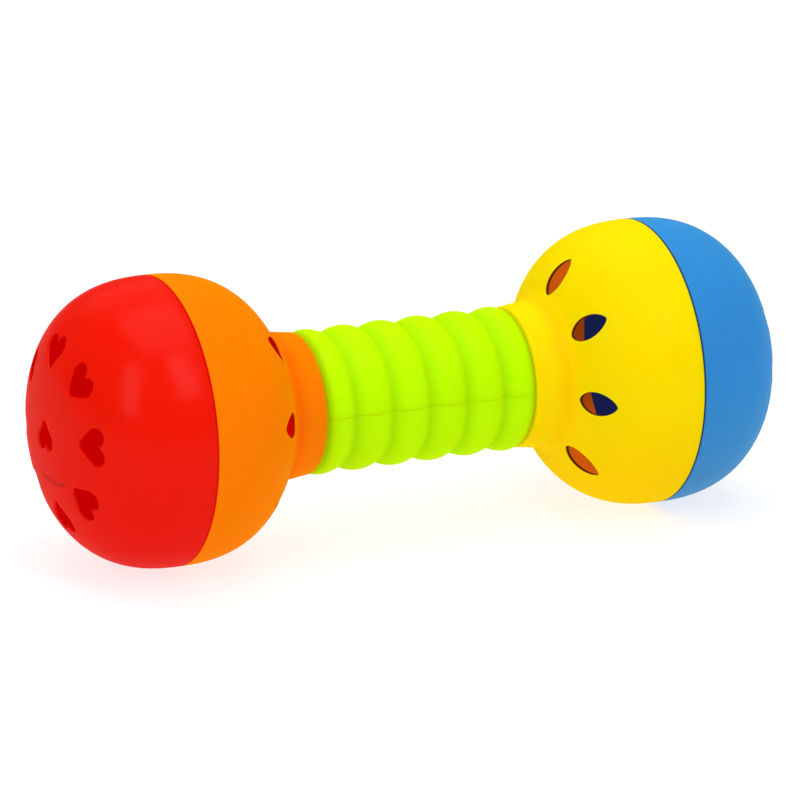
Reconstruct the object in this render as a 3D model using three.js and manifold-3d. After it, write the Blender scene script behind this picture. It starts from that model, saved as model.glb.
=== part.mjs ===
// Baby rattle: two round rattling heads joined by a ringed handle.
//
// Millimetres. X runs along the rattle, from the first head (-X, red and orange) to the
// second head (+X, yellow and blue). Z is up and the origin is the middle of the handle.
// Both heads are the same moulding. A head is built about its own centre with its cap
// towards +X, and the first head is then given a half turn about Y.

import * as THREE from 'three';
import { mergeVertices } from 'three/addons/utils/BufferGeometryUtils.js';
import Module from 'manifold-3d';

const wasm = await Module();
wasm.setup();

// ---------------------------------------------------------------- driving dimensions

const GAP = 0.3;                 // clearance between pieces that touch
const WALL = 1.8;                // wall of every shell
const DEG = Math.PI / 180;

// Heads
const HEAD_CENTRE = 56.7;        // from the middle of the handle to a head's parting plane
const HEAD_RADIUS = 31;
const HEAD_DEPTH = 26.3;         // from the parting plane to the pole
const HEAD_EXPONENT = 2.45;      // superellipse exponent: 2 would be an ellipse
const HEAD_TURN = 5.2;           // degrees that the holes' pattern is turned about the long axis
const HEAD_SIDES = 32;           // facets round a head
const HEAD_STEPS = 9;            // facets from the parting plane to the pole
const LAP_LENGTH = 1.2;          // stepped lap where the shell enters the cap
const LAP_RADIUS = 29.95;

// Neck collar, which looks like one more ring between a head and the handle
const COLLAR_START = 24.9;
const COLLAR_RADIUS = 15.3;
const COLLAR_ROOT_RADIUS = 16.0;
const COLLAR_EDGE = 0.6;         // rounding of the collar's free edge

// Concave sweep from the collar's root up to the shell
const SWEEP_START = 31.45;
const SWEEP_CONTROL = [33.16, 17.28];
const SWEEP_END_RADIUS = 18.25;
const SWEEP_STEPS = 3;

// Neck tube and flange that the handle halves hold
const NECK_BORE = 9.6;
const NECK_RADIUS = 11.6;
const NECK_END = 17;
const FLANGE_RADIUS = 13.1;
const FLANGE_START = 20.9;
const FLANGE_END = 22.7;
const KEY_WIDTH = 3;             // notch in the flange that stops a head from turning
const EMBED = 0.9;               // how far posts and keys run into the handle's wall

// Petal holes in the shell and heart holes in the cap
const SECTOR = 45;               // degrees between two places of a ring of holes
const PETAL_SECTORS = [2, 3, 4, 5];   // the shell is plain in its other sectors
const PETAL_INNER = 17.75;
const PETAL_OUTER = 25.25;
const PETAL_WIDTH = 5.1;
const PETAL_TIP_ROUND = 0.85;
const PETAL_SEGMENTS = 2;
const HEART_SECTORS = [0, 1, 2, 3, 4, 5, 6, 7];
const HEART_RING_RADIUS = 17.5;  // centre of a ring heart
const HEART_LOBE_RADIUS = 2.1;
const HEART_LOBE_OFFSET = 1.95;
const HEART_LOBE_HEIGHT = 1.2;   // above the heart's middle
const HEART_TIP = 3.9;           // below the heart's middle, before its tip is rounded
const HEART_TIP_ROUND = 1.2;
const POLE_HEART_SCALE = 0.92;
const HEART_SEGMENTS = 3;

// Handle
const RING_COUNT = 6;
const RING_PITCH = 8.74;
const RING_RADIUS = 15.55;
const RING_SAG = 1.65;           // depth of the groove between two rings
const RING_STEPS = 4;
const HANDLE_HALF_LENGTH = COLLAR_START - GAP;
const HANDLE_BORE = 11.9;
const HANDLE_SIDES = 32;
const POST_PLACES = [[-8.74, -8.2], [-8.74, 8.2], [8.74, -8.2], [8.74, 8.2]];
const POST_RADIUS = 2.6;
const PEG_RADIUS = 1.3;
const PEG_LENGTH = 3;
const POST_SIDES = 12;

// Loose balls, two side by side in the bottom of each head
const BALL_RADIUS = 6.5;
const BALL_TRACKS = [-7, 7];         // along X from the head's centre
const BALL_DROP = 21.1;              // a ball's centre below the long axis
const BALL_SIDES = 20;

const BIG = 200;                 // larger than the rattle, for cutting blocks
const WELD = 1e-4;               // corners closer than this are one corner
const MATT = 0.4;                // roughness of the shells and the handle
const SHINY = 0.35;              // roughness of the caps and the balls

const COLOURS = {
  red: 0xee240e,
  orange: 0xfb7f04,
  yellow: 0xffda03,
  blue: 0x3a92da,
  green: 0xb4f002,
};

// ---------------------------------------------------------------- solids and meshes

/** Turns a closed geometry into a solid that can be joined and cut. */
function solid(geometry) {
  const bare = geometry.index ? geometry.toNonIndexed() : geometry.clone();
  bare.deleteAttribute('normal');
  bare.deleteAttribute('uv');
  const merged = mergeVertices(bare, WELD);
  const corners = merged.index.array;
  const kept = [];
  for (let i = 0; i < corners.length; i += 3) {
    const [a, b, c] = corners.slice(i, i + 3);
    if (a !== b && b !== c && c !== a) kept.push(a, b, c);
  }
  return new wasm.Manifold(new wasm.Mesh({
    numProp: 3,
    vertProperties: new Float32Array(merged.attributes.position.array),
    triVerts: new Uint32Array(kept),
  }));
}

/** A named mesh from a solid. */
function piece(name, body, colour, roughness) {
  const { vertProperties, triVerts } = body.getMesh();
  const geometry = new THREE.BufferGeometry();
  geometry.setAttribute('position', new THREE.BufferAttribute(vertProperties, 3));
  geometry.setIndex(new THREE.BufferAttribute(triVerts, 1));
  geometry.computeVertexNormals();
  const material = new THREE.MeshStandardMaterial({ color: colour, roughness, metalness: 0 });
  const mesh = new THREE.Mesh(geometry, material);
  mesh.name = name;
  return mesh;
}

/** Revolves [x, radius] pairs about the X axis. The list closes on itself or on the axis. */
function revolve(profile, sides) {
  const points = profile.map(([x, radius]) => new THREE.Vector2(radius, x));
  return solid(new THREE.LatheGeometry(points, sides).rotateZ(-Math.PI / 2));
}

/** A block between two corners. */
function block(low, high) {
  const [dx, dy, dz] = high.map((value, i) => value - low[i]);
  const box = new THREE.BoxGeometry(dx, dy, dz);
  box.translate(low[0] + dx / 2, low[1] + dy / 2, low[2] + dz / 2);
  return solid(box);
}

/** An upright cylinder from z = bottom to z = top. */
function post(x, y, radius, bottom, top) {
  const cylinder = new THREE.CylinderGeometry(radius, radius, top - bottom, POST_SIDES);
  cylinder.rotateX(Math.PI / 2).translate(x, y, (bottom + top) / 2);
  return solid(cylinder);
}

/** Extrudes a flat outline along X, from x = start to x = end; its own x and y become Y and Z. */
function punch(outline, start, end, curveSegments) {
  const geometry = new THREE.ExtrudeGeometry(outline, {
    depth: end - start, bevelEnabled: false, curveSegments,
  });
  geometry.applyMatrix4(new THREE.Matrix4().makeBasis(
    new THREE.Vector3(0, 1, 0), new THREE.Vector3(0, 0, 1), new THREE.Vector3(1, 0, 0),
  ));
  return solid(geometry.translate(start, 0, 0));
}

/** Several solids as one. */
function joined(solids) {
  return solids.reduce((all, one) => all.add(one));
}

/** Copies of a cutter turned about X into the given sectors, joined into one. */
function turnedCopies(cutter, sectors) {
  return joined(sectors.map((sector) => cutter.rotate([sector * SECTOR, 0, 0])));
}

// ---------------------------------------------------------------- heads

/** The head's outline at an angle from its parting plane (0) to its pole (90 degrees). */
function headPoint(angle, inset) {
  const power = 2 / HEAD_EXPONENT;
  const along = (HEAD_DEPTH - inset) * Math.sin(angle) ** power;
  const across = (HEAD_RADIUS - inset) * Math.max(0, Math.cos(angle)) ** power;
  return [along, across];
}

/** The outline's angle where it has a given radius. */
function angleAtRadius(radius, inset) {
  return Math.acos((radius / (HEAD_RADIUS - inset)) ** (HEAD_EXPONENT / 2));
}

/** The outline's angle at a given distance from the parting plane. */
function angleAtDistance(distance, inset) {
  return Math.asin((distance / (HEAD_DEPTH - inset)) ** (HEAD_EXPONENT / 2));
}

/** Points of the outline from one angle to another, both included. */
function headCurve(from, to, inset) {
  const points = [];
  for (let i = 0; i <= HEAD_STEPS; i += 1) {
    points.push(headPoint(from + (to - from) * i / HEAD_STEPS, inset));
  }
  return points;
}

/** The same outline on the handle's side, from a radius near the neck to the parting plane. */
function shellCurve(neckRadius, inset) {
  const curve = headCurve(angleAtRadius(neckRadius, inset), 0, inset);
  return curve.map(([x, radius]) => [-x, radius]);
}

/** The concave sweep from the collar's root to the shell, without its last point. */
function neckSweep([endX, endRadius]) {
  const curve = new THREE.QuadraticBezierCurve(
    new THREE.Vector2(SWEEP_START - HEAD_CENTRE, COLLAR_ROOT_RADIUS),
    new THREE.Vector2(SWEEP_CONTROL[0] - HEAD_CENTRE, SWEEP_CONTROL[1]),
    new THREE.Vector2(endX, endRadius),
  );
  return curve.getPoints(SWEEP_STEPS).slice(0, -1).map((point) => [point.x, point.y]);
}

/** The neck-side half of a head, with its collar, neck tube and flange. */
function shellSolid() {
  const at = (x) => x - HEAD_CENTRE;
  const outer = shellCurve(SWEEP_END_RADIUS, 0).slice(0, -1);
  const inner = shellCurve(COLLAR_RADIUS - WALL, WALL).reverse().slice(1);
  const profile = [
    [at(NECK_END), NECK_BORE],
    [at(NECK_END), NECK_RADIUS],
    [at(FLANGE_START), NECK_RADIUS],
    [at(FLANGE_START), FLANGE_RADIUS],
    [at(FLANGE_END), FLANGE_RADIUS],
    [at(FLANGE_END), NECK_RADIUS],
    [at(COLLAR_START), NECK_RADIUS],
    [at(COLLAR_START), COLLAR_RADIUS - COLLAR_EDGE],
    [at(COLLAR_START + COLLAR_EDGE), COLLAR_RADIUS],
    ...neckSweep(outer[0]),
    ...outer,
    [-GAP / 2, HEAD_RADIUS],
    [-GAP / 2, LAP_RADIUS],
    [LAP_LENGTH, LAP_RADIUS],
    [LAP_LENGTH, HEAD_RADIUS - WALL],
    ...inner,
    [at(COLLAR_START + WALL), COLLAR_RADIUS - WALL],
    [at(COLLAR_START + WALL), NECK_BORE],
    [at(NECK_END), NECK_BORE],
  ];
  return revolve(profile, HEAD_SIDES)
    .subtract(turnedCopies(petalPunch(), PETAL_SECTORS))
    .subtract(keyNotches());
}

/** One petal hole: two long arcs with rounded tips, the long way from the axis outwards. */
function petalPunch() {
  const halfWidth = PETAL_WIDTH / 2;
  const middle = (PETAL_INNER + PETAL_OUTER) / 2;
  const tip = (PETAL_OUTER - PETAL_INNER) / 2 - PETAL_TIP_ROUND;
  const spare = halfWidth - PETAL_TIP_ROUND;
  const arcRadius = (tip ** 2 / spare + halfWidth + PETAL_TIP_ROUND) / 2;
  const offset = arcRadius - halfWidth;
  const swing = Math.atan2(tip, offset);
  const up = 90 * DEG;
  const down = 270 * DEG;
  const outline = new THREE.Shape();
  outline.absarc(middle, -offset, arcRadius, up - swing, up + swing, false);
  outline.absarc(middle - tip, 0, PETAL_TIP_ROUND, up + swing, down - swing, false);
  outline.absarc(middle, offset, arcRadius, down - swing, down + swing, false);
  outline.absarc(middle + tip, 0, PETAL_TIP_ROUND, swing - up, up - swing, false);
  return punch(outline, -HEAD_DEPTH, 0, PETAL_SEGMENTS);
}

/** Two notches in the neck flange, level with the handle's seam whatever the head's turn. */
function keyNotches() {
  const side = KEY_WIDTH / 2 + GAP;
  const notch = block(
    [FLANGE_START - HEAD_CENTRE - GAP, NECK_RADIUS, -side],
    [FLANGE_END - HEAD_CENTRE + GAP, FLANGE_RADIUS + GAP, side],
  );
  return notch.add(notch.rotate([180, 0, 0])).rotate([-HEAD_TURN, 0, 0]);
}

/** The pole-side half of a head, pierced by a ring of hearts and by one at its pole. */
function capSolid() {
  const ledge = LAP_LENGTH + GAP;
  const rim = [GAP / 2, LAP_RADIUS + GAP];
  const outer = headCurve(0, 90 * DEG, 0).slice(1);
  const inner = headCurve(angleAtDistance(ledge, WALL), 90 * DEG, WALL).reverse();
  const profile = [rim, [GAP / 2, HEAD_RADIUS], ...outer, ...inner, [ledge, LAP_RADIUS + GAP], rim];
  const ringHeart = heartPunch(HEART_RING_RADIUS, 1);
  const poleHeart = heartPunch(0, POLE_HEART_SCALE).rotate([90, 0, 0]);
  return revolve(profile, HEAD_SIDES)
    .subtract(turnedCopies(ringHeart, HEART_SECTORS))
    .subtract(poleHeart);
}

/** One heart hole with its middle at a distance from the axis and its tip towards the axis. */
function heartPunch(distance, scale) {
  const lobe = HEART_LOBE_RADIUS * scale;
  const side = HEART_LOBE_OFFSET * scale;
  const middle = distance + HEART_LOBE_HEIGHT * scale;
  const tip = distance - HEART_TIP * scale;
  const reach = Math.hypot(side, middle - tip);
  const slope = Math.atan2(side, middle - tip) + Math.asin(lobe / reach);
  const touch = slope + 90 * DEG;
  const notch = Math.asin(side / lobe);
  const tipRound = HEART_TIP_ROUND * scale;
  const tipCentre = tip + tipRound / Math.sin(slope);
  const outline = new THREE.Shape();
  outline.absarc(middle, -side, lobe, -touch, notch, false);
  outline.absarc(middle, side, lobe, -notch, touch, false);
  outline.absarc(tipCentre, 0, tipRound, touch, 360 * DEG - touch, false);
  return punch(outline, 0, HEAD_DEPTH + WALL, HEART_SEGMENTS);
}

// ---------------------------------------------------------------- handle

/** The handle's outer radius: round rings that meet in sharp grooves. */
function ringRadius(x) {
  const half = RING_PITCH / 2;
  const arcRadius = (half ** 2 + RING_SAG ** 2) / (2 * RING_SAG);
  const shifted = x + RING_COUNT * half;
  const fromCrest = shifted - RING_PITCH * Math.floor(shifted / RING_PITCH) - half;
  return RING_RADIUS - arcRadius + Math.sqrt(arcRadius ** 2 - fromCrest ** 2);
}

/** The ringed tube with its flange grooves and posts, before it is split. */
function handleSolid() {
  const steps = RING_COUNT * RING_STEPS;
  const outer = [];
  for (let i = 1; i < steps; i += 1) {
    const x = RING_PITCH * (i / RING_STEPS - RING_COUNT / 2);
    outer.push([x, ringRadius(x)]);
  }
  const end = HANDLE_HALF_LENGTH;
  const grooveRadius = FLANGE_RADIUS + GAP;
  const near = FLANGE_START - GAP;
  const far = FLANGE_END + GAP;
  const bore = [
    [end, HANDLE_BORE], [far, HANDLE_BORE], [far, grooveRadius],
    [near, grooveRadius], [near, HANDLE_BORE],
  ];
  const mirrored = bore.map(([x, radius]) => [-x, radius]).reverse();
  const profile = [
    [-end, HANDLE_BORE], [-end, ringRadius(-end)],
    ...outer.filter(([x]) => Math.abs(x) < end),
    [end, ringRadius(end)],
    ...bore,
    ...mirrored,
  ];
  return revolve(profile, HANDLE_SIDES).add(handlePosts());
}

/** The posts inside the handle, cut off inside its wall. */
function handlePosts() {
  const reach = HANDLE_BORE + EMBED;
  const core = revolve([[-NECK_END, 0], [-NECK_END, reach], [NECK_END, reach], [NECK_END, 0]],
    HANDLE_SIDES);
  return postsAt(POST_RADIUS, -reach, reach).intersect(core);
}

/** Upright cylinders of one radius at every post. */
function postsAt(radius, bottom, top) {
  return joined(POST_PLACES.map(([x, y]) => post(x, y, radius, bottom, top)));
}

/** Four keys just under the seam, one on each side of each end, that the flange notches take. */
function keys() {
  const one = block(
    [FLANGE_START - WALL, HANDLE_BORE, -KEY_WIDTH / 2],
    [FLANGE_END + WALL, FLANGE_RADIUS + EMBED, -GAP / 2],
  );
  const pair = one.add(one.mirror([0, 1, 0]));
  return pair.add(pair.mirror([1, 0, 0]));
}

/** Upper half of the handle, with a socket in each post. */
function upperHalf(whole) {
  const sockets = postsAt(PEG_RADIUS + GAP, 0, PEG_LENGTH + GAP);
  return whole.intersect(block([-BIG, -BIG, GAP / 2], [BIG, BIG, BIG])).subtract(sockets);
}

/** Lower half of the handle, with a peg on each post and a key at each flange notch. */
function lowerHalf(whole) {
  const pegs = postsAt(PEG_RADIUS, -PEG_LENGTH, PEG_LENGTH);
  return whole.intersect(block([-BIG, -BIG, -BIG], [BIG, BIG, -GAP / 2])).add(pegs).add(keys());
}

// ---------------------------------------------------------------- assembly

/** A head's own group: shell and cap, with the pattern turned about the long axis. */
function head(shellName, shellColour, capName, capColour) {
  const pattern = new THREE.Group();
  pattern.rotation.x = HEAD_TURN * DEG;
  pattern.position.x = HEAD_CENTRE;
  pattern.add(piece(shellName, shellSolid(), shellColour, MATT));
  pattern.add(piece(capName, capSolid(), capColour, SHINY));
  const group = new THREE.Group();
  group.add(pattern);
  return group;
}

/** One loose ball, resting in the bottom of a head on its own track. */
function ball(name, x, colour) {
  const sphere = new THREE.SphereGeometry(BALL_RADIUS, BALL_SIDES, BALL_SIDES / 2);
  const mesh = piece(name, solid(sphere), colour, SHINY);
  mesh.position.set(x, 0, -BALL_DROP);
  return mesh;
}

const rattle = new THREE.Group();

const secondHead = head('yellow_shell', COLOURS.yellow, 'blue_cap', COLOURS.blue);
const firstHead = head('orange_shell', COLOURS.orange, 'red_cap', COLOURS.red);
firstHead.rotation.y = Math.PI;
rattle.add(firstHead, secondHead);

const handle = handleSolid();
rattle.add(piece('handle_upper_half', upperHalf(handle), COLOURS.green, MATT));
rattle.add(piece('handle_lower_half', lowerHalf(handle), COLOURS.green, MATT));

BALL_TRACKS.forEach((track, i) => {
  rattle.add(ball(`red_ball_${i + 1}`, -HEAD_CENTRE - track, COLOURS.red));
  rattle.add(ball(`yellow_ball_${i + 1}`, HEAD_CENTRE + track, COLOURS.yellow));
});

export default rattle;
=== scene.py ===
"""Baby rattle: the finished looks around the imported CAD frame.

Metres. X runs along the rattle, Z is up and the origin is the middle of the handle.
Both heads are one moulding: the first head is the second one after a half turn about Y.
A head is drawn in its own terms: u is the distance from its parting plane, positive
towards its pole, and (y, z) is a place across the long axis, before the pattern's turn.
"""

import math

import bmesh
import bpy
import numpy as np
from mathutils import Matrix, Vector


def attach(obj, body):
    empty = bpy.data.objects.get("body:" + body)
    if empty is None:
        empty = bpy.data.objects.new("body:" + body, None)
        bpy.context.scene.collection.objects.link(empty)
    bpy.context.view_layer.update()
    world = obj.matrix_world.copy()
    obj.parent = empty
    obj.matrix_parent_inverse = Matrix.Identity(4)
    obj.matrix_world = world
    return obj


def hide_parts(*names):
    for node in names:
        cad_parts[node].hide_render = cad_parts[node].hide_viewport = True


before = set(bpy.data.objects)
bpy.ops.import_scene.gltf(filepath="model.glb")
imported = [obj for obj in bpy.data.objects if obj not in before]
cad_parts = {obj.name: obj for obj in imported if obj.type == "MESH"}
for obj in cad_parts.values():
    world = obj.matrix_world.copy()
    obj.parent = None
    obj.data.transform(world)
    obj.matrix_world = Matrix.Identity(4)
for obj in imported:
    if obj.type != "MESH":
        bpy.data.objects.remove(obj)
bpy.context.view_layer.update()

MM = 0.001
QUARTER = math.pi / 2

# ------------------------------------------------------------------ sizes

# Heads
HEAD_CENTRE = 56.7 * MM
HEAD_RADIUS = 31 * MM
HEAD_DEPTH = 26.3 * MM
HEAD_EXPONENT = 2.45             # 2 gives an ellipse, and more gives a fuller outline
HEAD_TURN = math.radians(5.2)    # of a head's pattern of holes about the long axis
WALL = 1.8 * MM
PARTING_GAP = 0.07 * MM          # each side of the line between a cap and its shell
LAP_RADIUS = 29.95 * MM
LAP_LENGTH = 1.2 * MM
LAP_PLAY = 0.15 * MM
CAP_RIM_ROUND = 0.4 * MM
SHELL_RIM_ROUND = 0.15 * MM

# How a head's surface is divided
SECTORS = 8
ARC_STEPS = 20                   # along a sector's inner or outer edge
SIDE_STEPS = 18                  # along a sector's straight edge
PATCH_RINGS = 7
PATCH_GRADING = 1.4              # above 1 the rings crowd towards the hole
ROUND_STEPS = 4
CURVE_STEPS = 24

# Collar, neck tube and flange
COLLAR_START = 24.65 * MM
COLLAR_RADIUS = 15.3 * MM
COLLAR_ROOT_RADIUS = 16.0 * MM
COLLAR_ROUND = 0.5 * MM
SWEEP_START = 31.45 * MM
SWEEP_CONTROL = (33.16 * MM, 17.28 * MM)  # x and radius of the place it bends towards
SWEEP_END_RADIUS = 18.25 * MM
CREASE_REACH = 0.9 * MM          # how far the crease's rounding goes to either side
CREASE_STEPS = 8
COLLAR_STEPS = 8
NECK_BORE = 9.6 * MM
NECK_RADIUS = 11.6 * MM
NECK_END = 17 * MM
FLANGE_RADIUS = 13.1 * MM
FLANGE_START = 20.9 * MM
FLANGE_END = 22.7 * MM

# Petal holes and heart holes
PETAL_INNER = 17.75 * MM
PETAL_OUTER = 25.25 * MM
PETAL_WIDTH = 5.1 * MM
PETAL_TIP_ROUND = 0.85 * MM
PETAL_BAND = (16.9 * MM, 27 * MM)
PETAL_SECTORS = (2, 3, 4, 5)     # the shell is plain in its other sectors
HEART_MIDDLE = 17.5 * MM
HEART_LOBE_RADIUS = 2.1 * MM
HEART_LOBE_OFFSET = 1.95 * MM
HEART_LOBE_HEIGHT = 1.2 * MM
HEART_TIP = 3.9 * MM
HEART_TIP_ROUND = 1.2 * MM
HEART_BAND = (9.5 * MM, 24.5 * MM)
POLE_HEART_SCALE = 0.92
PETAL_ROUND = 0.2 * MM
HEART_ROUND = 0.35 * MM
HOLE_INNER_ROUND = 0.1 * MM
LIP = 0.65 * MM                  # the wall thins to this round each hole
OUTLINE_STEP = 0.1 * MM

# Handle
RING_COUNT = 6
RING_PITCH = 8.74 * MM
RING_RADIUS = 15.55 * MM
RING_SAG = 1.65 * MM
RING_STEPS = 16
RING_BLEND = 0.25 * MM           # softens the groove between two rings
END_SQUEEZE = 1.4                # how much faster the last rings fall towards their collars
HANDLE_HALF_LENGTH = 24.6 * MM
HANDLE_LIMIT = (HANDLE_HALF_LENGTH + COLLAR_START) / 2  # between the handle's end and a collar
HANDLE_BORE = 11.9 * MM
HANDLE_ARC_STEPS = 96            # round half of the handle
HANDLE_ROUND = 0.8 * MM
FLANGE_PLAY = 0.3 * MM
SEAM_GAP = 0.01 * MM
SEAM_ROUND = 0.03 * MM
SEAM_STEP = 0.05 * MM            # the lower half stands proud of the upper one

# Balls
BALL_RADIUS = 6.5 * MM
BALL_TRACKS = (-7 * MM, 7 * MM)
BALL_DROP = 21.1 * MM
BALL_STEPS = 96
BALL_BEAD = 0.06 * MM
BALL_BEAD_WIDTH = 0.35 * MM

WELD = 0.002 * MM                # points closer than this become one

# Painted shade and glow below a head's surface: where they start and where they are full
SUNK = "sunk_shade"                    # name of the shading of places out of the room's light
SUNK_DEPTHS = (0.01 * MM, 0.07 * MM)
CAP_SUNK_DEPTHS = (0.5 * MM, 0.7 * MM)
RIM_REACH = 1.5 * MM             # a cap's rim is shaded like a shell
END_SHADE = (0.2 * MM, 1.6 * MM)  # in from an end of the handle, from full painted shade to none
LIT = "lit"                      # name of the painted glow of places lit through the walls
LIT_DEPTHS = (0.6 * MM, 0.9 * MM)
GAP_REACH = 0.25 * MM            # to either side of a parting plane
END_GLOW = (0, 0.6 * MM)         # in from an end of the handle, from full painted glow to none
SEAM_GLOW = 0.17                 # within the seam, as a share of the full painted glow
SEAM_REACH = (0.01 * MM, 0.04 * MM)
TOPPING_WAY = (0, 0.2, 1)        # up and a little back; the floor sends light in from below
TOPPING_PLACES = (8 * MM, 18 * MM)
LOW_SHADE_PLACES = (0, -25 * MM)       # heights at which the underside's painted shade starts and is full

# Painted shade in the grooves between rings and where a shell meets its collar
CREASE_SHADE = "crease_shade"
GROOVE_SPREAD = 1.4 * MM
NECK_SPREAD = 1.9 * MM


# ------------------------------------------------------------------ mesh helpers

def loft(mesh, rings):
    """Joins closed rings of equally many points with quads."""
    rows = [[mesh.verts.new(point) for point in ring] for ring in rings]
    for near, far in zip(rows, rows[1:]):
        for i in range(len(near)):
            j = (i + 1) % len(near)
            mesh.faces.new((near[i], near[j], far[j], far[i]))
    return rows


def quarter_turns(steps):
    """(sine, cosine) at equal steps from 0 to 90 degrees, both ends included."""
    angles = [QUARTER * i / steps for i in range(steps + 1)]
    return [(math.sin(angle), math.cos(angle)) for angle in angles]


def finished(mesh, name, material, body):
    """Turns gathered faces into a closed smooth piece that replaces the CAD node of its name."""
    bmesh.ops.remove_doubles(mesh, verts=mesh.verts, dist=WELD)
    bmesh.ops.recalc_face_normals(mesh, faces=mesh.faces)
    data = bpy.data.meshes.new(name)
    mesh.to_mesh(data)
    mesh.free()
    data.shade_smooth()
    for shading, value_at in ((SUNK, sunk_shade), (LIT, lit), (CREASE_SHADE, crease_shade)):
        values = [value_at(*vert.co) for vert in data.vertices]
        data.attributes.new(shading, "FLOAT", "POINT").data.foreach_set("value", values)
    data.materials.append(material)
    piece = bpy.data.objects.new(name, data)
    bpy.context.collection.objects.link(piece)
    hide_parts(name)
    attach(piece, body)


# ------------------------------------------------------------------ shading

def below_head(x, y, z):
    """How far a place is inside a head's outer surface; less than 0 outside it."""
    depth_share = abs(abs(x) - HEAD_CENTRE) / HEAD_DEPTH
    radius_share = math.hypot(y, z) / HEAD_RADIUS
    size = depth_share ** HEAD_EXPONENT + radius_share ** HEAD_EXPONENT
    return HEAD_RADIUS * (1 - size ** (1 / HEAD_EXPONENT))


def sunk_shade(x, y, z):
    """How much painted shade a place takes: it rises from 0 to 1 just below a head's surface, a
    little deeper in a cap's holes, and along the last of the handle towards its collars."""
    if abs(x) < HANDLE_LIMIT:
        return float(np.interp(HANDLE_HALF_LENGTH - abs(x), END_SHADE, (1, 0)))
    in_cap = abs(x) > HEAD_CENTRE + RIM_REACH
    depths = CAP_SUNK_DEPTHS if in_cap else SUNK_DEPTHS
    return float(np.interp(below_head(x, y, z), depths, (0, 1)))


def lit(x, y, z):
    """Painted glow: rises from 0 to 1 deeper in a head, and in the narrow gaps between touching
    pieces.
    """
    if abs(x) < HANDLE_LIMIT:
        at_end = np.interp(HANDLE_HALF_LENGTH - abs(x), END_GLOW, (1, 0))
        at_seam = np.interp(abs(z), SEAM_REACH, (SEAM_GLOW, 0))
        return float(max(at_end, at_seam))
    in_gap = abs(abs(x) - HEAD_CENTRE) < GAP_REACH
    depths = SUNK_DEPTHS if in_gap else LIT_DEPTHS
    return float(np.interp(below_head(x, y, z), depths, (0, 1)))


def crease_shade(x, y, z):
    """Painted shade that rises softly to 1 in each groove of the handle and at each neck's crease.
    """
    along = abs(x)
    if along < HANDLE_LIMIT:
        groove = round(along / RING_PITCH) * RING_PITCH
        away = min(abs(along - groove), HANDLE_HALF_LENGTH - along)
        return math.exp(-(away / GROOVE_SPREAD) ** 2)
    away = math.hypot(along - SWEEP_START, math.hypot(y, z) - COLLAR_ROOT_RADIUS)
    return math.exp(-(away / NECK_SPREAD) ** 2)


# ------------------------------------------------------------------ head outline

def depth_at(radius, inset):
    """How far a head's surface is from its parting plane at a distance from the long axis."""
    share = min(1, radius / (HEAD_RADIUS - inset))
    return (HEAD_DEPTH - inset) * (1 - share ** HEAD_EXPONENT) ** (1 / HEAD_EXPONENT)


def sweep_points():
    """(depth, radius) along the concave sweep from the collar's root up to the shell."""
    start = np.array((HEAD_CENTRE - SWEEP_START, COLLAR_ROOT_RADIUS))
    middle = np.array((HEAD_CENTRE - SWEEP_CONTROL[0], SWEEP_CONTROL[1]))
    end = np.array((depth_at(SWEEP_END_RADIUS, 0), SWEEP_END_RADIUS))
    shares = np.linspace(0, 1, CURVE_STEPS + 1)[:, None]
    return (1 - shares) ** 2 * start + 2 * shares * (1 - shares) * middle + shares ** 2 * end


SWEEP = sweep_points()


def cap_outside(radius):
    """The depth of a cap's outer surface."""
    return depth_at(radius, 0)


def shell_outside(radius):
    """The depth of a shell's outer surface, with the sweep down to its collar."""
    if radius >= SWEEP_END_RADIUS:
        return depth_at(radius, 0)
    return float(np.interp(radius, SWEEP[:, 1], SWEEP[:, 0]))


def inside(radius):
    """The depth of a head's inner surface."""
    return depth_at(radius, WALL)


def thinned(share):
    """The inside of the wall at a share of the way from a hole's edge to its patch's border."""
    return lambda radius: depth_at(radius, LIP + (WALL - LIP) * share)


def outline_arc(start_radius, inset, least_depth):
    """(depth, radius) from a radius down to a small depth, evenly spread along the curve."""
    power = 2 / HEAD_EXPONENT
    full_depth, full_radius = HEAD_DEPTH - inset, HEAD_RADIUS - inset
    first = math.acos((start_radius / full_radius) ** (1 / power))
    last = math.asin((least_depth / full_depth) ** (1 / power))
    points = []
    for i in range(CURVE_STEPS + 1):
        angle = first + (last - first) * i / CURVE_STEPS
        points.append((full_depth * math.sin(angle) ** power,
                       full_radius * math.cos(angle) ** power))
    return points


# ------------------------------------------------------------------ outlines of the holes

def heart_outline(scale, grow):
    """A heart about its own middle, tip towards -a, grown outwards by a width."""
    side = HEART_LOBE_OFFSET * scale
    middle = HEART_LOBE_HEIGHT * scale
    tip = -HEART_TIP * scale
    lobe = HEART_LOBE_RADIUS * scale
    slope = math.atan2(side, middle - tip) + math.asin(lobe / math.hypot(side, middle - tip))
    touch = slope + QUARTER
    notch = math.asin(side / (lobe + grow))
    tip_round = HEART_TIP_ROUND * scale
    arcs = [
        (middle, -side, lobe + grow, -touch, notch),
        (middle, side, lobe + grow, -notch, touch),
        (tip + tip_round / math.sin(slope), 0, tip_round + grow, touch, 2 * math.pi - touch),
    ]
    return [
        (a + radius * math.cos(angle), b + radius * math.sin(angle))
        for a, b, radius, start, end in arcs
        for angle in np.linspace(start, end, CURVE_STEPS)
    ]


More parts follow.
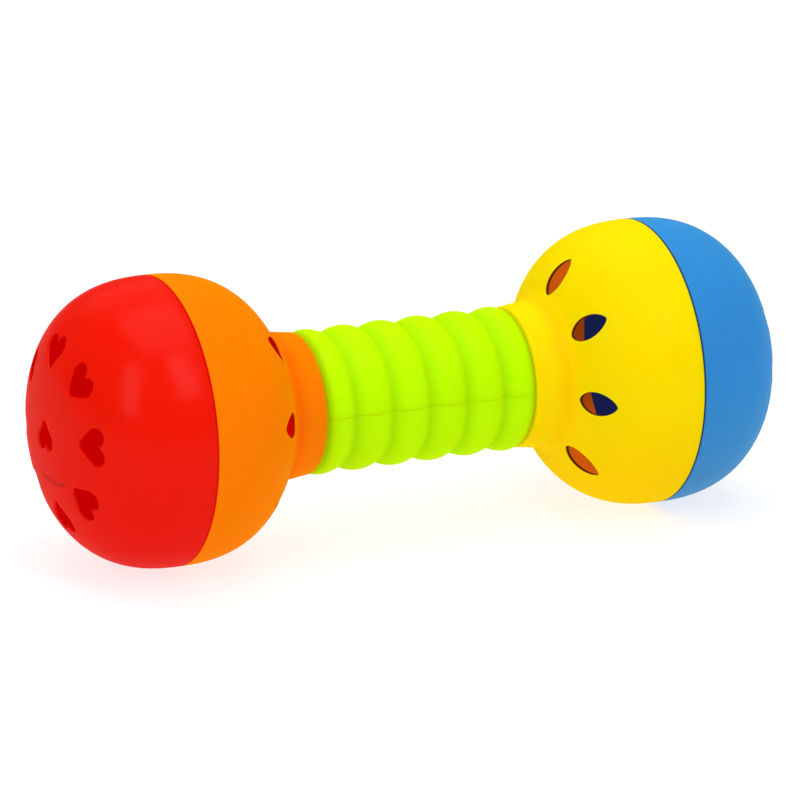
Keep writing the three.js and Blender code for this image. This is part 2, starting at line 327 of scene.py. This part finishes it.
def petal_outline(grow):
    """A petal about its own middle, the long way along a, grown outwards by a width."""
    half_width = PETAL_WIDTH / 2
    tip = (PETAL_OUTER - PETAL_INNER) / 2 - PETAL_TIP_ROUND
    spare = half_width - PETAL_TIP_ROUND
    radius = (tip ** 2 / spare + half_width + PETAL_TIP_ROUND) / 2
    offset = radius - half_width
    swing = math.atan2(tip, offset)
    arcs = [
        (0, -offset, radius, -swing, swing),
        (-tip, 0, PETAL_TIP_ROUND, swing, math.pi - swing),
        (0, offset, radius, math.pi - swing, math.pi + swing),
        (tip, 0, PETAL_TIP_ROUND, math.pi + swing, 2 * math.pi - swing),
    ]
    return [
        (a - (size + grow) * math.sin(angle), b + (size + grow) * math.cos(angle))
        for a, b, size, start, end in arcs
        for angle in np.linspace(start, end, CURVE_STEPS)
    ]


def reach(outline, angles):
    """The outline's distance from its middle in each direction."""
    corners = np.array(outline)
    dense = []
    for start, end in zip(corners, np.roll(corners, -1, axis=0)):
        steps = max(1, math.ceil(np.linalg.norm(end - start) / OUTLINE_STEP))
        dense.extend(start + (end - start) * i / steps for i in range(steps))
    dense = np.array(dense)
    directions = np.arctan2(dense[:, 1], dense[:, 0])
    return np.interp(angles, directions, np.hypot(dense[:, 0], dense[:, 1]), period=2 * math.pi)


def sector_border(band):
    """Points round one sector of a band, counter-clockwise, with its middle direction along +a."""
    near, far = band
    half = math.pi / SECTORS
    corners = [(far, -half), (far, half), (near, half), (near, -half)]
    points = []
    for i, (start, end) in enumerate(zip(corners, corners[1:] + corners[:1])):
        steps = SIDE_STEPS if i % 2 else ARC_STEPS
        for step in range(steps):
            radius = start[0] + (end[0] - start[0]) * step / steps
            angle = start[1] + (end[1] - start[1]) * step / steps
            points.append((radius * math.cos(angle), radius * math.sin(angle)))
    return np.array(points)


def circle_border(radius):
    """Points round a circle that meet the corners of the sectors."""
    count = SECTORS * ARC_STEPS
    angles = np.arange(count) * 2 * math.pi / count - math.pi / SECTORS
    return np.stack((radius * np.cos(angles), radius * np.sin(angles)), axis=1)


def plain_patch(border, middle, outside):
    """Rings of (depth, a, b) over a sector with no hole, outer surface first and inner one next."""
    shares = [(i / PATCH_RINGS) ** PATCH_GRADING for i in range(PATCH_RINGS, -1, -1)]
    return [
        [[(surface(math.hypot(a, b)), a, b) for a, b in middle + (border - middle) * share]
         for share in shares]
        for surface in (outside, inside)
    ]


def hole_patch(border, middle, outline_grown, outside, rounding):
    """Rings of (depth, a, b) from the border across the outside, through the hole and back inside.

    outline_grown(width) gives the hole's outline about its middle, outside(radius) the depth of
    the outer surface, and rounding the size of the hole's outer edge.
    """
    spokes = border - middle
    angles = np.arctan2(spokes[:, 1], spokes[:, 0])
    unit = np.stack((np.cos(angles), np.sin(angles)), axis=1)

    def hole(grow):
        return middle + unit * reach(outline_grown(grow), angles)[:, None]

    def ring(points, surface, rise):
        return [(surface(math.hypot(a, b)) + rise, a, b) for a, b in points]

    shares = [(i / PATCH_RINGS) ** PATCH_GRADING for i in range(PATCH_RINGS, 0, -1)]
    wide, narrow = hole(rounding), hole(HOLE_INNER_ROUND)
    rings = [ring(wide + (border - wide) * share, outside, 0) for share in shares]
    for sine, cosine in quarter_turns(ROUND_STEPS):
        points = hole(rounding * (1 - sine))
        rings.append(ring(points, outside, -rounding * (1 - cosine)))
    for sine, cosine in quarter_turns(ROUND_STEPS):
        points = hole(HOLE_INNER_ROUND * (1 - cosine))
        rings.append(ring(points, thinned(0), HOLE_INNER_ROUND * (1 - sine)))
    for share in reversed(shares):
        rings.append(ring(narrow + (border - narrow) * share, thinned(share), 0))
    return rings


# ------------------------------------------------------------------ heads

def head_point(end, u, y, z):
    """A place on a head: end is 1 for the second head and -1 for the first one."""
    turned_y = y * math.cos(HEAD_TURN) - z * math.sin(HEAD_TURN)
    turned_z = y * math.sin(HEAD_TURN) + z * math.cos(HEAD_TURN)
    return end * (HEAD_CENTRE + u), turned_y, end * turned_z


def add_patch(mesh, end, side, rings, turn):
    """Adds a hole's patch, turned about the long axis. side is 1 for a cap and -1 for a shell."""
    sine, cosine = math.sin(turn), math.cos(turn)
    loft(mesh, [
        [head_point(end, side * depth, a * cosine - b * sine, a * sine + b * cosine)
         for depth, a, b in ring]
        for ring in rings
    ])


def add_lathe(mesh, end, side, profile):
    """Adds a surface of revolution from (depth, radius) pairs."""
    loft(mesh, [
        [head_point(end, side * depth, y, z) for y, z in circle_border(radius)]
        for depth, radius in profile
    ])


def rim_points(rounding):
    """(depth, radius) round the outer edge at the parting plane, towards the inside."""
    return [
        (PARTING_GAP + rounding * (1 - sine), HEAD_RADIUS - rounding * (1 - cosine))
        for sine, cosine in quarter_turns(ROUND_STEPS)
    ]


def cap_mesh(end):
    """The pole-side half of a head, with its ring of hearts and the heart at its pole."""
    mesh = bmesh.new()
    near, far = HEART_BAND
    ring_heart = hole_patch(
        sector_border(HEART_BAND), np.array((HEART_MIDDLE, 0.0)),
        lambda grow: heart_outline(1, grow), cap_outside, HEART_ROUND)
    for i in range(SECTORS):
        add_patch(mesh, end, 1, ring_heart, i * 2 * math.pi / SECTORS)
    pole_heart = hole_patch(
        circle_border(near), np.zeros(2), lambda grow: heart_outline(POLE_HEART_SCALE, grow),
        cap_outside, HEART_ROUND)
    add_patch(mesh, end, 1, pole_heart, QUARTER)
    ledge = LAP_LENGTH + LAP_PLAY
    lap = LAP_RADIUS + LAP_PLAY
    add_lathe(mesh, end, 1, [
        *outline_arc(far, 0, PARTING_GAP + CAP_RIM_ROUND),
        *rim_points(CAP_RIM_ROUND)[1:],
        (PARTING_GAP, lap),
        (ledge, lap),
        *reversed(outline_arc(far, WALL, ledge)),
    ])
    return mesh


def collar_points():
    """(depth, radius) from the crease with the shell along the collar to its free edge."""
    crease = np.array((HEAD_CENTRE - SWEEP_START, COLLAR_ROOT_RADIUS))
    slope = np.array(SWEEP[1] - SWEEP[0])
    above = crease + slope / np.linalg.norm(slope) * CREASE_REACH
    below = crease + np.array((CREASE_REACH, 0))
    points = []
    for share in np.linspace(0, 1, CREASE_STEPS + 1):
        points.append(tuple((1 - share) ** 2 * above + 2 * share * (1 - share) * crease
                            + share ** 2 * below))
    free_end = HEAD_CENTRE - COLLAR_START
    round_start = free_end - COLLAR_ROUND
    for share in np.arange(1, COLLAR_STEPS) / COLLAR_STEPS:
        depth = below[0] + (round_start - below[0]) * share
        points.append((depth, COLLAR_ROOT_RADIUS + (COLLAR_RADIUS - COLLAR_ROOT_RADIUS) * share))
    points += [
        (free_end - COLLAR_ROUND * (1 - sine), COLLAR_RADIUS - COLLAR_ROUND * (1 - cosine))
        for sine, cosine in quarter_turns(2 * ROUND_STEPS)
    ]
    return points


def neck_points():
    """(depth, radius) from the collar's free edge along the neck tube and back into the head."""
    collar_inside = COLLAR_RADIUS - WALL
    return [
        (HEAD_CENTRE - COLLAR_START, NECK_RADIUS),
        (HEAD_CENTRE - FLANGE_END, NECK_RADIUS),
        (HEAD_CENTRE - FLANGE_END, FLANGE_RADIUS),
        (HEAD_CENTRE - FLANGE_START, FLANGE_RADIUS),
        (HEAD_CENTRE - FLANGE_START, NECK_RADIUS),
        (HEAD_CENTRE - NECK_END, NECK_RADIUS),
        (HEAD_CENTRE - NECK_END, NECK_BORE),
        (HEAD_CENTRE - COLLAR_START - WALL, NECK_BORE),
        (HEAD_CENTRE - COLLAR_START - WALL, collar_inside),
        (inside(collar_inside), collar_inside),
    ]


def shell_mesh(end):
    """The neck-side half of a head, with its petals, lap, collar, neck tube and flange."""
    mesh = bmesh.new()
    near, far = PETAL_BAND
    border = sector_border(PETAL_BAND)
    middle = np.array(((PETAL_INNER + PETAL_OUTER) / 2, 0.0))
    petal = hole_patch(border, middle, petal_outline, shell_outside, PETAL_ROUND)
    plain_sides = plain_patch(border, middle, shell_outside)
    for i in range(SECTORS):
        patches = [petal] if i in PETAL_SECTORS else plain_sides
        for patch in patches:
            add_patch(mesh, end, -1, patch, i * 2 * math.pi / SECTORS)
    add_lathe(mesh, end, -1, [
        *outline_arc(far, 0, PARTING_GAP + SHELL_RIM_ROUND),
        *rim_points(SHELL_RIM_ROUND)[1:],
        (PARTING_GAP, LAP_RADIUS),
        (-LAP_LENGTH, LAP_RADIUS),
        (-LAP_LENGTH, HEAD_RADIUS - WALL),
        *reversed(outline_arc(far, WALL, SHELL_RIM_ROUND)),
    ])
    add_lathe(mesh, end, -1, [
        (shell_outside(near), near),
        *collar_points(),
        *neck_points(),
        (inside(near), near),
    ])
    return mesh


# ------------------------------------------------------------------ handle

def ring_radius(x):
    """The handle's outer radius: round rings that meet in soft grooves."""
    half = RING_PITCH / 2
    arc = (half ** 2 + RING_SAG ** 2) / (2 * RING_SAG)
    last_crest = (RING_COUNT - 1) * half
    if abs(x) > last_crest:
        x = last_crest + (abs(x) - last_crest) * END_SQUEEZE
    heights = []
    for i in range(RING_COUNT):
        from_crest = x - (i - (RING_COUNT - 1) / 2) * RING_PITCH
        if abs(from_crest) < arc:
            heights.append(RING_RADIUS - arc + math.sqrt(arc ** 2 - from_crest ** 2))
    heights.sort()
    if len(heights) < 2:
        return heights[-1]
    second, first = heights[-2:]
    return (first + second + math.hypot(first - second, RING_BLEND)) / 2


def handle_stations():
    """(x, outer radius) along the handle, with its ends rounded."""
    end = HANDLE_HALF_LENGTH
    steps = RING_COUNT * RING_STEPS
    places = [RING_PITCH * (i / RING_STEPS - RING_COUNT / 2) for i in range(steps + 1)]
    middle = [(x, ring_radius(x)) for x in places if abs(x) < end - HANDLE_ROUND]
    tail = []
    for sine, cosine in quarter_turns(ROUND_STEPS):
        x = end - HANDLE_ROUND * (1 - sine)
        tail.append((x, ring_radius(x) - HANDLE_ROUND * (1 - cosine)))
    return [(-x, radius) for x, radius in reversed(tail)] + middle + tail


def half_section(radius, rounding):
    """(y, z) round half a circle above the seam, with both corners rounded."""
    corner = [
        (radius - rounding * (1 - sine), SEAM_GAP / 2 + rounding * (1 - cosine))
        for sine, cosine in quarter_turns(ROUND_STEPS)
    ]
    start = math.asin((SEAM_GAP / 2 + rounding) / radius)
    arc = []
    for i in range(1, HANDLE_ARC_STEPS):
        angle = start + (math.pi - 2 * start) * i / HANDLE_ARC_STEPS
        arc.append((radius * math.cos(angle), radius * math.sin(angle)))
    return corner + arc + [(-y, z) for y, z in reversed(corner)]


def bore_radius(x):
    """The handle's inner radius, wider where the neck's flange turns."""
    near, far = FLANGE_START - FLANGE_PLAY, FLANGE_END + FLANGE_PLAY
    return FLANGE_RADIUS + FLANGE_PLAY if near < abs(x) < far else HANDLE_BORE


def handle_mesh(up, proud):
    """Half of the handle: up is 1 for the upper half and -1 for the lower one."""
    mesh = bmesh.new()
    rings = []
    for x, radius in handle_stations():
        outer = half_section(radius + proud, SEAM_ROUND)
        inner = half_section(bore_radius(x), SEAM_ROUND)
        rings.append([(x, y, up * z) for y, z in outer + inner[::-1]])
    rows = loft(mesh, rings)
    count = len(rows[0])
    for row in (rows[0], rows[-1]):
        for i in range(count // 2 - 1):
            mesh.faces.new((row[i], row[i + 1], row[count - 2 - i], row[count - 1 - i]))
    return mesh


# ------------------------------------------------------------------ balls

def ball_mesh(x):
    """A loose ball with the fine bead that its mould leaves round its middle."""
    mesh = bmesh.new()
    rings = []
    for i in range(1, BALL_STEPS // 2):
        angle = math.pi * i / (BALL_STEPS // 2) - QUARTER
        height = BALL_RADIUS * math.sin(angle)
        bead = BALL_BEAD * math.exp(-(height / BALL_BEAD_WIDTH) ** 2)
        radius = (BALL_RADIUS - BALL_BEAD + bead) * math.cos(angle)
        rings.append([
            (x + radius * math.cos(turn), radius * math.sin(turn), height - BALL_DROP)
            for turn in np.arange(BALL_STEPS) * 2 * math.pi / BALL_STEPS
        ])
    rows = loft(mesh, rings)
    for row, side in ((rows[0], -1), (rows[-1], 1)):
        pole = mesh.verts.new((x, 0, side * (BALL_RADIUS - BALL_BEAD) - BALL_DROP))
        for i in range(BALL_STEPS):
            mesh.faces.new((row[i], row[(i + 1) % BALL_STEPS], pole))
    return mesh


# ------------------------------------------------------------------ materials

NOISE_RANGE = (0.3, 0.7)         # where nearly all of a noise texture's values lie
DRIFT = 0.975                    # the darkest that a plastic's own colour drifts
DRIFT_NOISE = (45, 3)            # scale and detail
GLOSS_NOISE = (160, 5)
GLOSS_SPREAD = (-0.03, 0.04)     # either side of a plastic's roughness
RIPPLE = (120, 2, 0.25, 0.15 * MM)  # scale, detail, strength and height
GRAIN = (2600, 4, 0.12, 0.02 * MM)
GLOW_SHARE = 0.5                 # of the light, spread under the surface
MATT = (0.04, 0.35)              # sheen's strength and roughness
SHINY = (0.12, 0.24)

# The short curved mark that the mould left near the red cap's pole
MARK_CENTRE = (0, -3 * MM, 13.5 * MM)
MARK_RADIUS = 23 * MM
MARK_WIDTH = 0.6 * MM
MARK_MIDDLE = (-82.2 * MM, -3 * MM, -9.5 * MM)
MARK_REACH = 6 * MM
MARK_FADE = 1.2 * MM
MARK_COLOUR = (190, 0, 0)


def linear(red, green, blue):
    """An 8-bit sRGB colour as linear RGBA."""
    def channel(value):
        value /= 255
        return value / 12.92 if value <= 0.04045 else ((value + 0.055) / 1.055) ** 2.4
    return channel(red), channel(green), channel(blue), 1


def noise(nodes, links, place, scale, detail):
    """The value of a noise texture at each place."""
    texture = nodes.new("ShaderNodeTexNoise")
    texture.inputs["Scale"].default_value = scale
    texture.inputs["Detail"].default_value = detail
    links.new(place, texture.inputs["Vector"])
    return texture.outputs["Fac"]


def spread(nodes, links, value, source, target):
    """A value carried from one range to another and held at its ends."""
    mapping = nodes.new("ShaderNodeMapRange")
    for socket, limit in zip(("From Min", "From Max", "To Min", "To Max"), (*source, *target)):
        mapping.inputs[socket].default_value = limit
    links.new(value, mapping.inputs["Value"])
    return mapping.outputs["Result"]


def blended(nodes, links, factor, first, second):
    """A colour between two others."""
    mix = nodes.new("ShaderNodeMix")
    mix.data_type = "RGBA"
    for socket, colour in (("A", first), ("B", second)):
        if isinstance(colour, tuple):
            mix.inputs[socket].default_value = colour
        else:
            links.new(colour, mix.inputs[socket])
    links.new(factor, mix.inputs["Factor"])
    return mix.outputs["Result"]


def product(nodes, links, values):
    """Several values multiplied together."""
    result = values[0]
    for value in values[1:]:
        step = nodes.new("ShaderNodeMath")
        step.operation = "MULTIPLY"
        links.new(result, step.inputs[0])
        links.new(value, step.inputs[1])
        result = step.outputs["Value"]
    return result


def bumped(nodes, links, place, scale, detail, strength, height):
    """A bump node over a noise texture."""
    bump = nodes.new("ShaderNodeBump")
    bump.inputs["Strength"].default_value = strength
    bump.inputs["Distance"].default_value = height
    links.new(noise(nodes, links, place, scale, detail), bump.inputs["Height"])
    return bump


def shading_value(nodes, name):
    """A piece's own shading, as stored on its mesh."""
    attribute = nodes.new("ShaderNodeAttribute")
    attribute.attribute_name = name
    return attribute.outputs["Fac"]


def mark_factor(nodes, links, place):
    """1 along the short curved mark near a cap's pole and 0 elsewhere."""
    across = nodes.new("ShaderNodeVectorMath")
    across.operation = "MULTIPLY"
    links.new(place, across.inputs[0])
    across.inputs[1].default_value = (0, 1, 1)
    nearness = []
    for point, centre, start, end in (
        (across.outputs["Vector"], MARK_CENTRE, MARK_RADIUS - MARK_WIDTH, MARK_RADIUS),
        (across.outputs["Vector"], MARK_CENTRE, MARK_RADIUS + MARK_WIDTH, MARK_RADIUS),
        (place, MARK_MIDDLE, MARK_REACH, MARK_REACH - MARK_FADE),
    ):
        away = nodes.new("ShaderNodeVectorMath")
        away.operation = "DISTANCE"
        links.new(point, away.inputs[0])
        away.inputs[1].default_value = centre
        limits = (min(start, end), max(start, end))
        ends = (0, 1) if start < end else (1, 0)
        nearness.append(spread(nodes, links, away.outputs["Value"], limits, ends))
    return product(nodes, links, nearness)


def surface_colour(nodes, links, place, colour, low, crease, deep):
    """A plastic's own colour with a slow drift, then the painted shade of its underside, creases
    and holes.
    """
    drift = noise(nodes, links, place, *DRIFT_NOISE)
    drift = spread(nodes, links, drift, NOISE_RANGE, (0, 1))
    drifted = tuple(DRIFT * channel for channel in colour)
    surface = blended(nodes, links, drift, linear(*colour), linear(*drifted))
    axes = nodes.new("ShaderNodeSeparateXYZ")
    links.new(place, axes.inputs["Vector"])
    # Painted shade towards the underside, set by height
    underside = spread(nodes, links, axes.outputs["Z"], LOW_SHADE_PLACES, (0, 1))
    surface = blended(nodes, links, underside, surface, linear(*low))
    # Painted shade in the grooves and at each neck's crease
    surface = blended(nodes, links, shading_value(nodes, CREASE_SHADE), surface, linear(*crease))
    # Painted shade inside a head, in its holes and gaps and at the handle's ends
    return blended(nodes, links, shading_value(nodes, SUNK), surface, linear(*deep))


def light_through(nodes, links, place, topping):
    """How strong the painted glow for light through the walls is; topping times as strong high and
    low in a head.
    """
    upwards = nodes.new("ShaderNodeVectorMath")
    upwards.operation = "DOT_PRODUCT"
    links.new(place, upwards.inputs[0])
    upwards.inputs[1].default_value = TOPPING_WAY
    height = nodes.new("ShaderNodeMath")
    height.operation = "ABSOLUTE"
    links.new(upwards.outputs["Value"], height.inputs[0])
    topped = spread(nodes, links, height.outputs["Value"], TOPPING_PLACES, (1, topping))
    return product(nodes, links, (shading_value(nodes, LIT), topped))


def plastic(name, colour, low, crease, deep, through, topping, glow, finish, marked=False):
    """Moulded plastic: slow colour drift, a faint ripple, fine grain and uneven gloss.

    low is the painted shade of its underside, crease the painted shade in its grooves and deep the
    painted shade inside a head and in its holes. through is the colour of a painted glow that
    stands in for light coming in through the walls, and topping how many times stronger it is high
    and low in a head. glow is how far red, green and blue light travel in the plastic, in
    millimetres. finish is the strength and roughness of its sheen.
    """
    sheen, roughness = finish
    material = bpy.data.materials.new(name)
    material.use_nodes = True
    nodes, links = material.node_tree.nodes, material.node_tree.links
    shader = nodes["Principled BSDF"]
    place = nodes.new("ShaderNodeTexCoord").outputs["Object"]

    surface = surface_colour(nodes, links, place, colour, low, crease, deep)
    if marked:
        mark = mark_factor(nodes, links, place)
        surface = blended(nodes, links, mark, surface, linear(*MARK_COLOUR))
    links.new(surface, shader.inputs["Base Color"])
    # Painted glow: emission stands in for light coming in through the walls and into narrow gaps
    shader.inputs["Emission Color"].default_value = linear(*through)
    strength = light_through(nodes, links, place, topping)
    links.new(strength, shader.inputs["Emission Strength"])

    gloss = noise(nodes, links, place, *GLOSS_NOISE)
    gloss_range = tuple(roughness + change for change in GLOSS_SPREAD)
    gloss = spread(nodes, links, gloss, NOISE_RANGE, gloss_range)
    ripple = bumped(nodes, links, place, *RIPPLE)
    grain = bumped(nodes, links, place, *GRAIN)
    links.new(ripple.outputs["Normal"], grain.inputs["Normal"])
    links.new(gloss, shader.inputs["Roughness"])
    for socket in ("Normal", "Coat Normal"):
        links.new(grain.outputs["Normal"], shader.inputs[socket])

    shader.inputs["Specular IOR Level"].default_value = 0
    shader.inputs["Coat Weight"].default_value = sheen
    shader.inputs["Coat Roughness"].default_value = roughness
    shader.inputs["Subsurface Weight"].default_value = GLOW_SHARE
    shader.inputs["Subsurface Radius"].default_value = glow
    shader.inputs["Subsurface Scale"].default_value = MM
    return material


# ------------------------------------------------------------------ the rattle

# low, crease and deep are painted shade, and through is the colour of a painted glow
red = plastic(
    "red_plastic", colour=(234, 21, 1), low=(226, 15, 0), crease=(215, 10, 0), deep=(175, 3, 0),
    through=(154, 0, 0), topping=1, glow=(3.0, 0.1, 0.05), finish=SHINY, marked=True)
orange = plastic(
    "orange_plastic", colour=(253, 128, 0), low=(253, 123, 0), crease=(250, 112, 0),
    deep=(180, 8, 0), through=(150, 6, 0), topping=1, glow=(3.0, 0.8, 0.1), finish=MATT)
yellow = plastic(
    "yellow_plastic", colour=(255, 220, 0), low=(255, 200, 0), crease=(254, 203, 0),
    deep=(85, 32, 3), through=(136, 57, 5), topping=2.3, glow=(3.0, 1.2, 0.1), finish=MATT)
blue = plastic(
    "blue_plastic", colour=(50, 138, 208), low=(66, 134, 190), crease=(30, 90, 150),
    deep=(10, 40, 50), through=(18, 25, 70), topping=1, glow=(0.1, 0.5, 1.5), finish=SHINY)
green = plastic(
    "green_plastic", colour=(191, 250, 0), low=(184, 234, 0), crease=(174, 232, 0),
    deep=(165, 213, 0), through=(110, 148, 0), topping=1, glow=(1.0, 2.0, 0.1), finish=MATT)

finished(cap_mesh(-1), "red_cap", red, "rattle")
finished(shell_mesh(-1), "orange_shell", orange, "rattle")
finished(shell_mesh(1), "yellow_shell", yellow, "rattle")
finished(cap_mesh(1), "blue_cap", blue, "rattle")
finished(handle_mesh(1, 0), "handle_upper_half", green, "rattle")
finished(handle_mesh(-1, SEAM_STEP), "handle_lower_half", green, "rattle")
for number, (track, place) in enumerate(zip(BALL_TRACKS, ("inner", "outer")), 1):
    finished(ball_mesh(-HEAD_CENTRE - track), f"red_ball_{number}", red,
             f"red_ball_{place}")
    finished(ball_mesh(HEAD_CENTRE + track), f"yellow_ball_{number}", yellow,
             f"yellow_ball_{place}")


# ------------------------------------------------------------------ floor, light and camera

FLOOR_HEIGHT = -HEAD_RADIUS
FLOOR_HALF = 6.0
FLOOR_GREY = 0.3
FLOOR_ROUGHNESS = 0.7
FLOOR_GLOW = 0.75                # keeps the floor near white at the camera
WORLD_STRENGTH = 0.33
AIM = Vector((-0.85, -0.23, -2.05)) * MM
CAMERA_AZIMUTH = math.radians(-25.17)
CAMERA_ELEVATION = math.radians(15.64)
CAMERA_DISTANCE = 1548.7 * MM
CAMERA_LENS = 325.6              # millimetres, as the sensor's width is
CAMERA_SENSOR = 36
CAMERA_REACH = 20
SOFTBOXES = (                    # name, place, width, height and power in watts
    ("left_key", (-1.1, -0.6, 0.85), 0.45, 1.0, 5.5),
    ("right_key", (0.15, -0.95, 1.1), 0.4, 0.9, 5.5),
    ("top", (0.0, 0.1, 1.5), 1.2, 1.2, 11),
    ("fill", (1.0, -0.8, 0.5), 1.0, 1.0, 1.5),
    ("back", (0.1, 1.0, 0.9), 1.0, 1.0, 2),
)


def add_floor():
    """A plain pale floor under the heads."""
    data = bpy.data.meshes.new("floor")
    signs = [(-1, -1), (1, -1), (1, 1), (-1, 1)]
    places = [(x * FLOOR_HALF, y * FLOOR_HALF, FLOOR_HEIGHT) for x, y in signs]
    data.from_pydata(places, [], [range(len(places))])
    material = bpy.data.materials.new("floor_paint")
    material.use_nodes = True
    shader = material.node_tree.nodes["Principled BSDF"]
    shader.inputs["Base Color"].default_value = (FLOOR_GREY, FLOOR_GREY, FLOOR_GREY, 1)
    shader.inputs["Roughness"].default_value = FLOOR_ROUGHNESS
    shader.inputs["Emission Color"].default_value = (1, 1, 1, 1)
    shader.inputs["Emission Strength"].default_value = FLOOR_GLOW
    data.materials.append(material)
    floor = bpy.data.objects.new("floor", data)
    bpy.context.collection.objects.link(floor)


def add_softbox(name, place, width, height, power):
    """A rectangular area light aimed at the rattle."""
    data = bpy.data.lights.new(name, "AREA")
    data.shape = "RECTANGLE"
    data.size = width
    data.size_y = height
    data.energy = power
    light = bpy.data.objects.new(name, data)
    light.location = place
    light.rotation_mode = "QUATERNION"
    light.rotation_quaternion = (-Vector(place)).to_track_quat("-Z", "Y")
    bpy.context.collection.objects.link(light)


def add_world():
    """A plain white surround."""
    world = bpy.data.worlds.new("surround")
    world.use_nodes = True
    background = world.node_tree.nodes["Background"]
    background.inputs["Color"].default_value = (1, 1, 1, 1)
    background.inputs["Strength"].default_value = WORLD_STRENGTH
    bpy.context.scene.world = world


def add_camera():
    """The camera of the front view."""
    back = Vector((
        math.sin(CAMERA_AZIMUTH) * math.cos(CAMERA_ELEVATION),
        -math.cos(CAMERA_AZIMUTH) * math.cos(CAMERA_ELEVATION),
        math.sin(CAMERA_ELEVATION),
    ))
    data = bpy.data.cameras.new("camera")
    data.sensor_width = CAMERA_SENSOR
    data.lens = CAMERA_LENS
    data.clip_end = CAMERA_REACH
    camera = bpy.data.objects.new("camera", data)
    camera.location = AIM + back * CAMERA_DISTANCE
    camera.rotation_mode = "QUATERNION"
    camera.rotation_quaternion = (-back).to_track_quat("-Z", "Y")
    bpy.context.collection.objects.link(camera)
    bpy.context.scene.camera = camera


add_floor()
add_world()
for softbox in SOFTBOXES:
    add_softbox(*softbox)
add_camera()
bpy.context.scene.view_settings.view_transform = "Standard"


def corners(box):
    return [list(corner) for corner in box]
